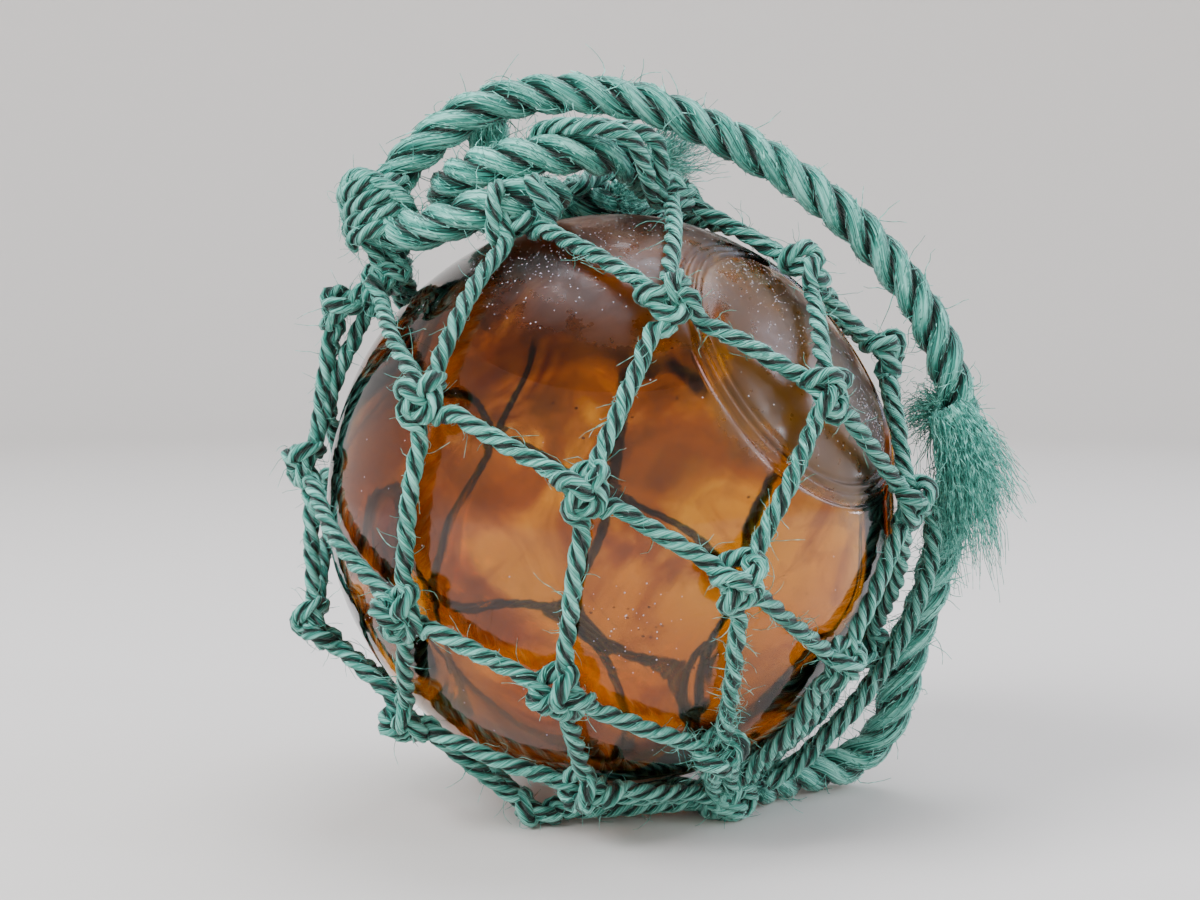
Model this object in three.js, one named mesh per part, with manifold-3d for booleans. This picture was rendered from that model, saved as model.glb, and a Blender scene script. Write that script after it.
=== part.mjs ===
// A blown glass fishing float in its knotted net, with the rope that draws the net shut and the
// rope that it is carried by. Millimetres, +Z up. Every piece is laid out round the ball's centre,
// and the finished group is then moved so that it stands on z = 0.
import * as THREE from 'three';
import { ConvexGeometry } from 'three/addons/geometries/ConvexGeometry.js';
import { mergeVertices } from 'three/addons/utils/BufferGeometryUtils.js';
import Module from 'manifold-3d';

const wasm = await Module();
wasm.setup();

// Driving sizes
const ballRadius = 100;
const twineSize = 5.8;
const ropeSize = 14;
const clearance = 0.4;      // between pieces that touch
const standHeight = 109;    // the ball's centre above the table, up on the knots under it
const knotRadius = 107;     // from the ball's centre to the middle of a knot
const knotSize = { along: 15, across: 14, through: 12.6 };
const knotReach = 7.2;      // from a knot's middle to where its legs leave it
const legRadius = ballRadius + clearance + twineSize / 2 + 0.8;
const twineSides = 5;

// The net is drawn up round an axis that leans away from upright, over to the left and back.
const netLean = 25.3;
const netLeanToward = 162;
const knotsInRow = 8;

// Each row's latitude and the longitude of its first knot, in degrees about the net's axis. slips
// are how far single knots have been pulled out of place: [up, along, lifted off the glass in mm].
const rows = [
  { latitude: 56, first: 7, slips: { 0: [0, 22, 2], 1: [0, 10, 2], 3: [2, -6, 3],
    4: [0, 18, 9], 5: [7, -22, 3], 6: [7, 7, 0], 7: [-3, 22, 2] } },
  { latitude: 25.5, first: -18, slips: { 5: [4, -13, 1], 6: [2, -5, 0], 0: [-2, -1, 0] } },
  { latitude: 0.5, first: 2, slips: { 4: [0, 10, 5], 5: [-5, 1, 0], 6: [1, -3, 0], 0: [3, -9, 1] } },
  { latitude: -24.5, first: -22, slips: { 5: [2, 0, 0], 6: [-4, 0, 0], 7: [2, -6, 0], 0: [1, 1, 0] } },
  { latitude: -53, first: -2, slips: { 0: [0, 18, 0], 3: [1, 0, 4], 4: [1, 18, 4.8], 5: [0, 4, 0],
    6: [-5, 3, 0], 7: [4, 0, 0] } },
];

// The drawing rope lies in one turn about an axis of its own, in degrees from its right end round
// the front. It stands highest at the front left, where the carrying rope is hitched under it.
const windingLean = 12.9;
const windingLeanToward = 153.4;
const winding = { start: 5, end: -322, spread: 17, middle: 118, lift: 6.5, highest: -125 };

// The carrying rope's route: from its cut end inside the drawing rope's turn, under that rope and
// round to the left, up and over the top in an arch, down the right side to the table, and in
// under the ball to the bottom gather.
const carryRoute = [
  [-44, 8, 132], [-42, 5, 120], [-35, -2, 110.5], [-25, -12, 105.5], [-21, -23, 103.5],
  [-28, -32, 104], [-41, -34, 101], [-55, -29, 96.5], [-69, -21, 93.5], [-78, -13, 96],
  [-80, -8, 104], [-74, -5, 114], [-62, -3, 126], [-45, -1, 137], [-18, 1, 142], [13, 2, 138],
  [48, 3, 122.5], [77, 3, 103.5], [94, 3, 87.5], [112, 3, 63], [121.5, 3, 38], [124, 4, 24],
  [123, 5, -1], [119.5, 6, -16], [113.5, 8, -38], [109, 10, -53], [104, 13, -76], [97, 16, -92],
  [86, 16, -100.5], [73, 10, -102], [60, 0, -102], [50, -10, -102],
];

// The doubled lashing twine, from the frayed tuft down beside the ball to the bottom gather.
const lashingRoute = [
  [112.5, -8, -2], [111, -13, -20], [105.5, -16, -36], [97, -18, -52], [86.5, -20, -67.5],
  [73, -21, -82], [63, -21, -91.5], [53.5, -21, -97],
];

const lashingKnot = { place: [-84, -10, 100], size: { along: 27, across: 30, through: 25 }, reach: 10 };
const bottomGather = { place: [39, -23, -103], size: { along: 26, across: 22, through: 22 }, reach: 11 };

const degrees = (value) => THREE.MathUtils.degToRad(value);
const point = ([x, y, z]) => new THREE.Vector3(x, y, z);

// Three axes at right angles: up leans by the angle given, east points right and north back.
function leaningFrame(lean, toward) {
  const up = new THREE.Vector3(
    Math.sin(degrees(lean)) * Math.cos(degrees(toward)),
    Math.sin(degrees(lean)) * Math.sin(degrees(toward)),
    Math.cos(degrees(lean)),
  );
  const east = new THREE.Vector3(0, 1, 0).cross(up).normalize();
  return { up, east, north: up.clone().cross(east) };
}

const netFrame = leaningFrame(netLean, netLeanToward);
const windingFrame = leaningFrame(windingLean, windingLeanToward);

// A place at a latitude and longitude in a leaning frame, at a distance from the ball's centre.
function aroundBall(frame, latitude, longitude, distance) {
  const ring = Math.cos(degrees(latitude));
  return new THREE.Vector3()
    .addScaledVector(frame.up, Math.sin(degrees(latitude)))
    .addScaledVector(frame.east, ring * Math.cos(degrees(longitude)))
    .addScaledVector(frame.north, ring * Math.sin(degrees(longitude)))
    .multiplyScalar(distance);
}

// A round bar bent along a smooth curve through the points, with closed ends.
function bar(points, diameter, sides, stepLength) {
  const curve = new THREE.CatmullRomCurve3(points, false, 'centripetal');
  const section = new THREE.Shape();
  for (let side = 0; side < sides; side += 1) {
    const turn = (2 * Math.PI * side) / sides;
    const x = (diameter / 2) * Math.cos(turn);
    const y = (diameter / 2) * Math.sin(turn);
    if (side === 0) section.moveTo(x, y);
    else section.lineTo(x, y);
  }
  section.closePath();
  const steps = Math.max(2, Math.round(curve.getLength() / stepLength));
  return new THREE.ExtrudeGeometry(section, { steps, extrudePath: curve, bevelEnabled: false });
}

const twineAlong = (points, stepLength) => bar(points, twineSize, twineSides, stepLength);

// The corners of a bar's two ends, as ExtrudeGeometry lays them down: first cap, then last cap.
function endCorners(geometry, sides) {
  const corners = geometry.attributes.position;
  const inCap = (sides - 2) * 3;
  return [0, inCap].map((offset) => Array.from({ length: inCap }, (_, index) => (
    new THREE.Vector3().fromBufferAttribute(corners, offset + index)
  )));
}

// A knot: the smallest faceted lump that takes in the ends of its twines and its own thickness.
function knotAround(place, { along, across, through }, outward, twineEnds) {
  const east = netFrame.up.clone().cross(outward).normalize();
  const north = outward.clone().cross(east);
  const corners = twineEnds.flat();
  for (const [axis, size] of [[east, along], [north, across], [outward, through]]) {
    for (const side of [-0.5, 0.5]) corners.push(place.clone().addScaledVector(axis, side * size));
  }
  return new ConvexGeometry(corners);
}

// A frayed rope end: a cone with a rounded mouth that opens from start to finish.
function frayedEnd(start, finish, startSize, finishSize, sides) {
  const axis = finish.clone().sub(start);
  const length = axis.length();
  const profile = [
    [0, 0], [startSize / 2, 0], [finishSize * 0.42, length * 0.55], [finishSize / 2, length * 0.82],
    [finishSize * 0.36, length], [0, length * 1.03],
  ].map(([x, y]) => new THREE.Vector2(x, y));
  const geometry = new THREE.LatheGeometry(profile, sides);
  const turn = new THREE.Quaternion().setFromUnitVectors(new THREE.Vector3(0, 1, 0), axis.normalize());
  geometry.applyQuaternion(turn);
  geometry.translate(start.x, start.y, start.z);
  return geometry;
}

function toSolid(geometry) {
  const bare = geometry.index ? geometry.toNonIndexed() : geometry.clone();
  bare.deleteAttribute('normal');
  bare.deleteAttribute('uv');
  const merged = mergeVertices(bare, 1e-4);
  return new wasm.Manifold(new wasm.Mesh({
    numProp: 3,
    vertProperties: new Float32Array(merged.attributes.position.array),
    triVerts: new Uint32Array(merged.index.array),
  }));
}

// A solid's mesh, on a fine grid: a face whose corners fall together there is left out.
function toGeometry(solid) {
  const grid = 0.01;
  const { vertProperties, triVerts } = solid.getMesh();
  const corners = vertProperties.map((value) => Math.round(value / grid) * grid);
  const raw = new THREE.BufferGeometry();
  raw.setAttribute('position', new THREE.BufferAttribute(corners, 3));
  raw.setIndex(new THREE.BufferAttribute(triVerts, 1));
  const geometry = mergeVertices(raw, grid / 10);
  const faces = [];
  for (let first = 0; first < triVerts.length; first += 3) {
    const face = Array.from(geometry.index.array.subarray(first, first + 3));
    if (new Set(face).size === 3) faces.push(...face);
  }
  geometry.setIndex(faces);
  geometry.computeVertexNormals();
  return geometry;
}

const join = (geometries) => geometries.map(toSolid).reduce((whole, solid) => whole.add(solid));

// What stands on the table is pressed flat there: everything below the table's surface is cut off.
function pressedFlat(solid) {
  const tall = 400;
  const room = new THREE.BoxGeometry(tall, tall, tall);
  room.translate(0, 0, tall / 2 - standHeight);
  return solid.intersect(toSolid(room));
}

// The glass: a ball with a round seal, which is a slightly flattened disc inside three low ridges.
function glassBall() {
  const sealEdge = 31;
  const ridges = [
    [30.2, -1.1], [29.4, 0], [28.6, 0], [28.1, -1.1], [27.5, -0.1], [26.8, -0.1], [26.2, -1.5],
    [25, -0.7], [16, -1], [8, -1.3],
  ];
  const profile = [new THREE.Vector2(0, -ballRadius)];
  const step = 9;
  for (let angle = 180 - step; angle > sealEdge + step / 2; angle -= step) {
    profile.push(new THREE.Vector2(
      ballRadius * Math.sin(degrees(angle)), ballRadius * Math.cos(degrees(angle)),
    ));
  }
  for (const [angle, height] of [[sealEdge, 0], ...ridges]) {
    const reach = ballRadius + height;
    profile.push(new THREE.Vector2(reach * Math.sin(degrees(angle)), reach * Math.cos(degrees(angle))));
  }
  profile.push(new THREE.Vector2(0, ballRadius - 1.4));
  const geometry = new THREE.LatheGeometry(profile, 40);
  const sealAxis = new THREE.Vector3(0.68, -0.49, 0.544).normalize();
  geometry.applyQuaternion(
    new THREE.Quaternion().setFromUnitVectors(new THREE.Vector3(0, 1, 0), sealAxis),
  );
  return toSolid(geometry);
}

function knotPlaces() {
  return rows.map(({ latitude, first, slips }) => {
    const places = [];
    for (let knot = 0; knot < knotsInRow; knot += 1) {
      const [up, along, lifted] = slips[knot] ?? [0, 0, 0];
      const longitude = first + (360 / knotsInRow) * knot + along;
      places.push(aroundBall(netFrame, latitude + up, longitude, knotRadius + lifted));
    }
    return places;
  });
}

// A leg of a mesh: twine that hugs the glass between two knots, or stands off where they do.
function leg(from, to, startReach, endReach) {
  const length = from.distanceTo(to);
  const first = startReach / length;
  const last = 1 - endReach / length;
  const points = [first, (first + last) / 2, last].map((t) => {
    const lift = (from.length() - knotRadius) * (1 - t) + (to.length() - knotRadius) * t;
    return from.clone().lerp(to, t).setLength(legRadius + Math.max(0, lift));
  });
  return twineAlong(points, (length * (last - first)) / 2);
}

// A place on the drawing rope's turn: rise is outward from the rope's middle, and inward is the
// angle towards the winding's axis.
function onWinding(angle, rise = 0, inward = 0) {
  const distance = winding.middle + winding.lift * Math.cos(degrees(angle - winding.highest)) + rise;
  return aroundBall(windingFrame, 90 - winding.spread + inward, angle, distance);
}

// A bight: the loop of twine above a top knot that is hooked over the drawing rope.
function bight(knot, hooks) {
  const apart = 4;
  const sides = [-apart, apart].map((offset) => hooks.map(
    ([angle, rise, inward]) => onWinding(angle + offset, rise, inward),
  ));
  const starts = sides.map(([next]) => (
    knot.clone().add(next.clone().sub(knot).setLength(knotReach)).setLength(knot.length() - 1)
  ));
  return twineAlong([starts[0], ...sides[0], ...sides[1].reverse(), starts[1]], 9);
}

function net(room) {
  const places = knotPlaces();
  const twines = [];
  const ends = places.map((row) => row.map(() => []));
  const gatherEnds = [];
  const lashingEnds = [];
  const tie = (geometry, startList, endList) => {
    const [start, end] = endCorners(geometry, twineSides);
    twines.push(geometry);
    startList.push(start);
    endList.push(end);
  };

  // Rows stand half a mesh apart, in turn to one side and to the other.
  places.slice(0, -1).forEach((row, index) => row.forEach((place, knot) => {
    const shift = index % 2 === 0 ? 1 : knotsInRow - 1;
    for (const below of [knot, (knot + shift) % knotsInRow]) {
      tie(leg(place, places[index + 1][below], knotReach, knotReach), ends[index][knot],
        ends[index + 1][below]);
    }
  }));

  // The lowest row is drawn together in the bottom gather, a flattened clump of knots.
  const gather = point(bottomGather.place);
  const lowest = places.length - 1;
  places[lowest].forEach((place, knot) => {
    const sideways = place.clone().cross(gather).setLength(3.4);
    for (const side of [-1, 1]) {
      const [from, to] = [place, gather].map((end) => end.clone().addScaledVector(sideways, side));
      tie(leg(from, to, knotReach, bottomGather.reach), ends[lowest][knot], gatherEnds);
    }
  });

  // Three of the top bights are drawn into the lashing knot.
  const lashing = point(lashingKnot.place);
  for (const knot of [3, 4, 5]) {
    const place = places[0][knot];
    const sideways = place.clone().cross(lashing).setLength(3.2);
    for (const side of [-1, 1]) {
      const [from, to] = [place, lashing].map((end) => end.clone().addScaledVector(sideways, side));
      const along = to.clone().sub(from).normalize();
      const start = from.addScaledVector(along, knotReach);
      const end = to.addScaledVector(along, -lashingKnot.reach);
      const middle = start.clone().lerp(end, 0.5).setLength(113);
      tie(twineAlong([start, middle, end], start.distanceTo(end) / 2), ends[0][knot], lashingEnds);
    }
  }

  // The other five hook over the drawing rope, each at its own angle on the winding.
  const over = ropeSize / 2 + twineSize / 2 + clearance + 1;
  const hooked = {
    0: [[-305, 3, -9], [-305, over, 0], [-305, 2, 9]],
    1: [[-280, 3, -9], [-280, over, 0], [-280, 2, 9]],
    2: [[-252, 3, -9], [-252, over, 0], [-252, 2, 9]],
    6: [[-101, -1, -10], [-103, 1, -6.5]],
    7: [[-44, 3, -9], [-56, over, -1], [-66, 2, 9]],
  };
  for (const [knot, hooks] of Object.entries(hooked)) {
    tie(bight(places[0][knot], hooks), ends[0][knot], ends[0][knot]);
  }

  const knots = places.flatMap((row, index) => row.map((place, knot) => (
    knotAround(place, knotSize, place.clone().normalize(), ends[index][knot])
  )));
  knots.push(
    knotAround(gather, bottomGather.size, new THREE.Vector3(0, 0, 1), gatherEnds),
    knotAround(lashing, lashingKnot.size, lashing.clone().normalize(), lashingEnds),
  );
  return pressedFlat(join([...knots, ...twines]).subtract(room));
}

// A cord along a route. The room that it needs in its neighbours is the same cord made thicker
// all round, and longer at both ends, by the spare given.
function cord(route, size, sides, stepLength, spare) {
  const past = (end, before) => end.clone().sub(before).setLength(spare).add(end);
  const [first, second] = route;
  const [beforeLast, last] = route.slice(-2);
  const whole = [past(first, second), ...route.slice(1, -1), past(last, beforeLast)];
  return bar(whole, size + 2 * spare, sides, stepLength);
}

// The drawing rope: one turn from its frayed end on the right to its cut end at the back.
function drawRope(spare) {
  const steps = 16;
  const route = Array.from({ length: steps + 1 }, (_, step) => (
    onWinding(THREE.MathUtils.lerp(winding.start, winding.end, step / steps))
  ));
  const frayedTo = new THREE.Vector3(25, 20, 122);
  const size = ropeSize + 2 * spare;
  return join([
    cord(route, ropeSize, 8, 13, spare),
    frayedEnd(route[0], frayedTo, size * 0.9, size * 1.3, 8),
  ]);
}

function carryRope(spare) {
  const size = ropeSize + 2 * spare;
  return join([
    cord(carryRoute.map(point), ropeSize, 8, 13, spare),
    frayedEnd(new THREE.Vector3(119, -3, 34), new THREE.Vector3(132, -13, -3), size * 0.9, 32, 9),
    frayedEnd(new THREE.Vector3(121, 3, 28), new THREE.Vector3(108, 5, 33), size * 0.8, 13, 7),
  ]);
}

function lashingTwine(spare) {
  const sideBySide = twineSize / 2 - 0.3;
  return join([-1, 1].map((side) => cord(
    lashingRoute.map((place) => point(place).add(new THREE.Vector3(0, side * sideBySide, 0))),
    twineSize, 6, 12, spare,
  )));
}

function rodMaterial(color) {
  return new THREE.MeshStandardMaterial({ color, roughness: 0.85, metalness: 0 });
}

const cordRoom = drawRope(clearance).add(carryRope(clearance)).add(lashingTwine(clearance));

const pieces = {
  glass_ball: [glassBall(), new THREE.MeshStandardMaterial({
    color: '#a35a17', roughness: 0.08, metalness: 0, transparent: true, opacity: 0.85,
  })],
  net: [net(cordRoom), rodMaterial('#4f9c86')],
  draw_rope: [drawRope(0), rodMaterial('#58b3a2')],
  carry_rope: [pressedFlat(carryRope(0)), rodMaterial('#3f9484')],
  lashing_twine: [lashingTwine(0), rodMaterial('#4a957f')],
};

const group = new THREE.Group();
for (const [name, [solid, material]] of Object.entries(pieces)) {
  const mesh = new THREE.Mesh(toGeometry(solid), material);
  mesh.name = name;
  group.add(mesh);
}

// The origin is on the table, under the middle of the box of everything but the carrying rope.
const box = new THREE.Box3();
for (const mesh of group.children) {
  if (mesh.name !== 'carry_rope') box.expandByObject(mesh, true);
}
group.position.set(-(box.min.x + box.max.x) / 2, -(box.min.y + box.max.y) / 2, -box.min.z);

export default group;
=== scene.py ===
"""A blown glass fishing float in its knotted net, laid out as a Blender add-on."""
import math
import random

import bmesh
import bpy
import numpy as np
from bpy.props import FloatProperty, FloatVectorProperty, IntProperty, PointerProperty
from mathutils import Matrix, Vector, noise
from mathutils.bvhtree import BVHTree


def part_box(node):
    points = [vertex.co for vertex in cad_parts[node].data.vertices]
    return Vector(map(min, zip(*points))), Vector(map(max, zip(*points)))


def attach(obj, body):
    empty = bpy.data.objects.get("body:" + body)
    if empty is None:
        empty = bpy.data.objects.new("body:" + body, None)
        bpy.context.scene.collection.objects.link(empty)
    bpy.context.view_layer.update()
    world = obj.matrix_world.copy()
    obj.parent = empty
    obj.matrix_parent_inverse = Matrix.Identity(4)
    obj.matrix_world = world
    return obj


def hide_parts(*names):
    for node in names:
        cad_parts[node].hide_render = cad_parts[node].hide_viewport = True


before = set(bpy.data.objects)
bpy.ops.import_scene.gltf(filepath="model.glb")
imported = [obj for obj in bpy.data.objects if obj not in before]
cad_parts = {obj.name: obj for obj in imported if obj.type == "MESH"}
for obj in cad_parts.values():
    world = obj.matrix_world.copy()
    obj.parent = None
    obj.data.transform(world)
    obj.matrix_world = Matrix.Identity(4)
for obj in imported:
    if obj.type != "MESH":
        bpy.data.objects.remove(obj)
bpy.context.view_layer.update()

bl_info = {
    "name": "Glass float ball",
    "version": (1, 0, 0),
    "blender": (4, 5, 0),
    "location": "View3D > Sidebar > Glass float",
    "description": "An amber glass float in its knotted net, with its ropes and a studio",
    "category": "Add Mesh",
}

MM = 0.001
BALL_LOW, BALL_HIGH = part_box("glass_ball")
CENTRE = (BALL_LOW + BALL_HIGH) / 2
FLOOR = -CENTRE.z / MM          # the table's height in millimetres from the ball's centre
SEED = 7


def linear(colour):
    """An sRGB hex colour as linear red, green and blue."""
    channels = [int(colour[start:start + 2], 16) / 255 for start in (1, 3, 5)]
    return [c / 12.92 if c <= 0.04045 else ((c + 0.055) / 1.055) ** 2.4 for c in channels]


# ---------------------------------------------------------------------------------------------
# Sizes and colours that a user would change
# ---------------------------------------------------------------------------------------------

class FloatBallSizes(bpy.types.PropertyGroup):
    """Sizes of the float, in metres."""
    ball: FloatProperty(name="Glass", description="Outer radius of the glass ball",
                        default=0.100, unit="LENGTH", precision=4)
    wall: FloatProperty(name="Wall", description="Mean thickness of the blown glass",
                        default=0.0045, unit="LENGTH", precision=4)
    twine: FloatProperty(name="Twine", description="Diameter of the net's twine",
                         default=0.0058, unit="LENGTH", precision=4)
    rope: FloatProperty(name="Rope", description="Diameter of the thick rope",
                        default=0.014, unit="LENGTH", precision=4)
    fuzz: IntProperty(name="Fuzz", description="Loose fibres along the net's twine", default=3500)


class FloatBallColours(bpy.types.PropertyGroup):
    """Colours of the float, linear."""
    amber: FloatVectorProperty(name="Amber", description="The clear glass", subtype="COLOR",
                               default=linear("#f9dd98"))
    # Brown is partly the glass's own streaks and partly a painted reflection of the net's knots.
    brown: FloatVectorProperty(name="Brown", description="Streaks in the glass", subtype="COLOR",
                               default=linear("#b07c52"))
    haze: FloatVectorProperty(name="Haze", description="The purple weathered glass",
                              subtype="COLOR", default=linear("#8d7f96"))
    # Light fibre is partly a painted highlight on the strands' crowns and partly the pale tone of
    # loose fibres.
    fibre_light: FloatVectorProperty(name="Light fibre", description="Rubbed, shining fibres",
                                     subtype="COLOR", default=linear("#93e2d2"))
    fibre_mid: FloatVectorProperty(name="Fibre", description="The rope's main green",
                                   subtype="COLOR", default=linear("#339180"))
    # Dark fibre is mostly painted shade between the strands, and also the fibres' own darker
    # streaks.
    fibre_dark: FloatVectorProperty(name="Dark fibre", description="Between the strands",
                                    subtype="COLOR", default=linear("#12493f"))
    floor: FloatVectorProperty(name="Floor", description="The studio's floor", subtype="COLOR",
                               default=linear("#dcd8d2"))


def sizes():
    """The float's sizes, as the sidebar holds them."""
    return bpy.context.scene.float_ball_sizes


def colours():
    """The float's colours, as the sidebar holds them."""
    return bpy.context.scene.float_ball_colours


# ---------------------------------------------------------------------------------------------
# Routes, in millimetres from the ball's centre
# ---------------------------------------------------------------------------------------------

def leaning_frame(lean, toward):
    """Three axes at right angles: up leans by an angle, east points right and north back."""
    lean, toward = math.radians(lean), math.radians(toward)
    up = Vector((math.sin(lean) * math.cos(toward), math.sin(lean) * math.sin(toward),
                 math.cos(lean)))
    east = Vector((0, 1, 0)).cross(up).normalized()
    return up, east, up.cross(east)


def around_ball(axes, latitude, longitude, distance):
    """A place at a distance from the ball's middle, by angles in a leaning frame."""
    up, east, north = axes
    latitude, longitude = math.radians(latitude), math.radians(longitude)
    ring = math.cos(latitude)
    return (up * math.sin(latitude) + east * ring * math.cos(longitude)
            + north * ring * math.sin(longitude)) * distance


NET_AXES = leaning_frame(25.3, 162)
KNOT_DISTANCE = 107
LEG_DISTANCE = 103.6
KNOTS = 8
# Each row's latitude, the longitude of its first knot, and {knot: (up, along, lifted)}.
ROWS = [
    (56, 7, {0: (0, 22, 2), 1: (0, 10, 2), 3: (2, -6, 3), 4: (0, 18, 9), 5: (7, -22, 3),
             6: (7, 7, 0), 7: (-3, 22, 2)}),
    (25.5, -18, {5: (4, -13, 1), 6: (2, -5, 0), 0: (-2, -1, 0)}),
    (0.5, 2, {4: (0, 10, 5), 5: (-5, 1, 0), 6: (1, -3, 0), 0: (3, -9, 1)}),
    (-24.5, -22, {5: (2, 0, 0), 6: (-4, 0, 0), 7: (2, -6, 0), 0: (1, 1, 0)}),
    (-53, -2, {0: (0, 18, 0), 3: (1, 0, 4), 4: (1, 18, 4.8), 5: (0, 4, 0), 6: (-5, 3, 0),
               7: (4, 0, 0)}),
]

WINDING_AXES = leaning_frame(12.9, 153.4)
WINDING = {"start": 5, "end": -322, "spread": 17, "middle": 118, "lift": 6.5, "highest": -125}

CARRY_ROUTE = [
    (-44, 8, 132), (-42, 5, 120), (-35, -2, 110.5), (-25, -12, 105.5), (-21, -23, 103.5),
    (-28, -32, 104), (-41, -34, 101), (-55, -29, 96.5), (-69, -21, 93.5), (-78, -13, 96),
    (-80, -8, 104), (-74, -5, 114), (-62, -3, 126), (-45, -1, 137), (-18, 1, 142), (13, 2, 138),
    (48, 3, 122.5), (77, 3, 103.5), (94, 3, 87.5), (112, 3, 63), (121.5, 3, 38), (124, 4, 24),
    (123, 5, -1), (119.5, 6, -16), (113.5, 8, -38), (109, 10, -53), (104, 13, -76),
    (97, 16, -92), (86, 16, -100.5), (73, 10, -102), (60, 0, -102), (50, -10, -102),
]
LASHING_ROUTE = [
    (112.5, -8, -2), (111, -13, -20), (105.5, -16, -36), (97, -18, -52), (86.5, -20, -67.5),
    (73, -21, -82), (63, -21, -91.5), (53.5, -21, -97),
]
LASHING_KNOT = Vector((-84, -10, 100))
BOTTOM_GATHER = Vector((39, -23, -103))
SEAL_AXIS = Vector((0.68, -0.49, 0.544)).normalized()
SMOKE_AXIS = Vector((-0.45, -0.45, 0.77)).normalized()
TOP_AXIS = Vector((0.05, -0.45, 0.89)).normalized()


def on_winding(angle, rise=0, inward=0):
    """A place on the drawing rope's turn: rise is outward and inward is an angle."""
    distance = WINDING["middle"] + rise + WINDING["lift"] * math.cos(
        math.radians(angle - WINDING["highest"]))
    return around_ball(WINDING_AXES, 90 - WINDING["spread"] + inward, angle, distance)


def smooth(points, spacing, closed=False, lowest=None):
    """Places a spacing apart on a centripetal Catmull-Rom curve, in millimetres."""
    points = np.array([tuple(p) for p in points], float)
    if closed:
        ring = np.vstack([points[-1:], points, points[:2]])
    else:
        ring = np.vstack([2 * points[:1] - points[1:2], points, 2 * points[-1:] - points[-2:-1]])
    share = np.linspace(0, 1, 13)[:-1, None]
    stretches = []
    for before, start, end, after in zip(ring, ring[1:], ring[2:], ring[3:]):
        d0, d1, d2 = (max(np.linalg.norm(b - a), 1e-4) ** 0.5
                      for a, b in ((before, start), (start, end), (end, after)))
        leave = ((start - before) / d0 - (end - before) / (d0 + d1) + (end - start) / d1) * d1
        reach = ((end - start) / d1 - (after - start) / (d1 + d2) + (after - end) / d2) * d1
        stretches.append((2 * share**3 - 3 * share**2 + 1) * start
                         + (share**3 - 2 * share**2 + share) * leave
                         + (3 * share**2 - 2 * share**3) * end + (share**3 - share**2) * reach)
    fine = np.vstack(stretches + [ring[-2:-1]])
    along = np.concatenate([[0], np.cumsum(np.linalg.norm(np.diff(fine, axis=0), axis=1))])
    places = np.linspace(0, along[-1], max(3, round(along[-1] / spacing) + 1))
    route = np.stack([np.interp(places, along, fine[:, axis]) for axis in range(3)], 1)
    if lowest is not None:
        route[:, 2] = np.maximum(route[:, 2], lowest)
    return route


# ---------------------------------------------------------------------------------------------
# Laid cords: strands wound round a route, as a ropewalk lays them
# ---------------------------------------------------------------------------------------------

# pitch is one whole turn of a strand, hand +1 a Z lay and -1 an S lay, yarns the lobes of a strand.
TWINE = {"strands": 3, "pitch": 22, "hand": -1, "sides": 15, "spacing": 1.9, "yarns": 5}
ROPE = {"strands": 3, "pitch": 38, "hand": 1, "sides": 32, "spacing": 1.6, "yarns": 8}


def directions(rows):
    """Each row of a table of vectors at unit length."""
    return rows / np.linalg.norm(rows, axis=1)[:, None]


def lengths_along(route):
    """How far each place of a route is from its start."""
    return np.concatenate([[0], np.cumsum(np.linalg.norm(np.diff(route, axis=0), axis=1))])


def moving_frames(route):
    """Two directions across a route at each place, which don't spin about it."""
    tangents = directions(np.gradient(route, axis=0))
    side = np.cross(tangents[0], [0.3, 0.2, 1.0])
    sides = []
    for tangent in tangents:
        side = side - tangent * side.dot(tangent)
        side = side / np.linalg.norm(side)
        sides.append(side)
    return np.array(sides), np.cross(tangents, sides)


def lay_strands(route, size, kind, seed):
    """The strands of a laid cord: {centres, outward, across, radii, twist} for each."""
    rng = np.random.default_rng(seed)
    side, other = moving_frames(route)
    along = lengths_along(route)
    mean_radius = size * 0.243
    start = rng.uniform(0, math.tau)
    strands = []
    for number in range(kind["strands"]):
        wave = sum(np.sin(along / length + rng.uniform(0, math.tau))
                   for length in (5.3, 8.9, 17.0)) / 3
        turn = (kind["hand"] * math.tau * along / kind["pitch"] + start
                + math.tau * number / kind["strands"] + 0.16 * wave)
        outward = np.cos(turn)[:, None] * side + np.sin(turn)[:, None] * other
        centres = route + outward * ((size / 2 - mean_radius) * (1.03 + 0.06 * wave))[:, None]
        across = directions(np.cross(np.gradient(centres, axis=0), outward))
        outward = np.cross(across, directions(np.gradient(centres, axis=0)))
        strands.append({"centres": centres, "outward": outward, "across": across,
                        "radii": mean_radius * (1 + 0.07 * wave),
                        "twist": -kind["hand"] * math.tau * along / (kind["pitch"] * 1.1)})
    return strands


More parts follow.
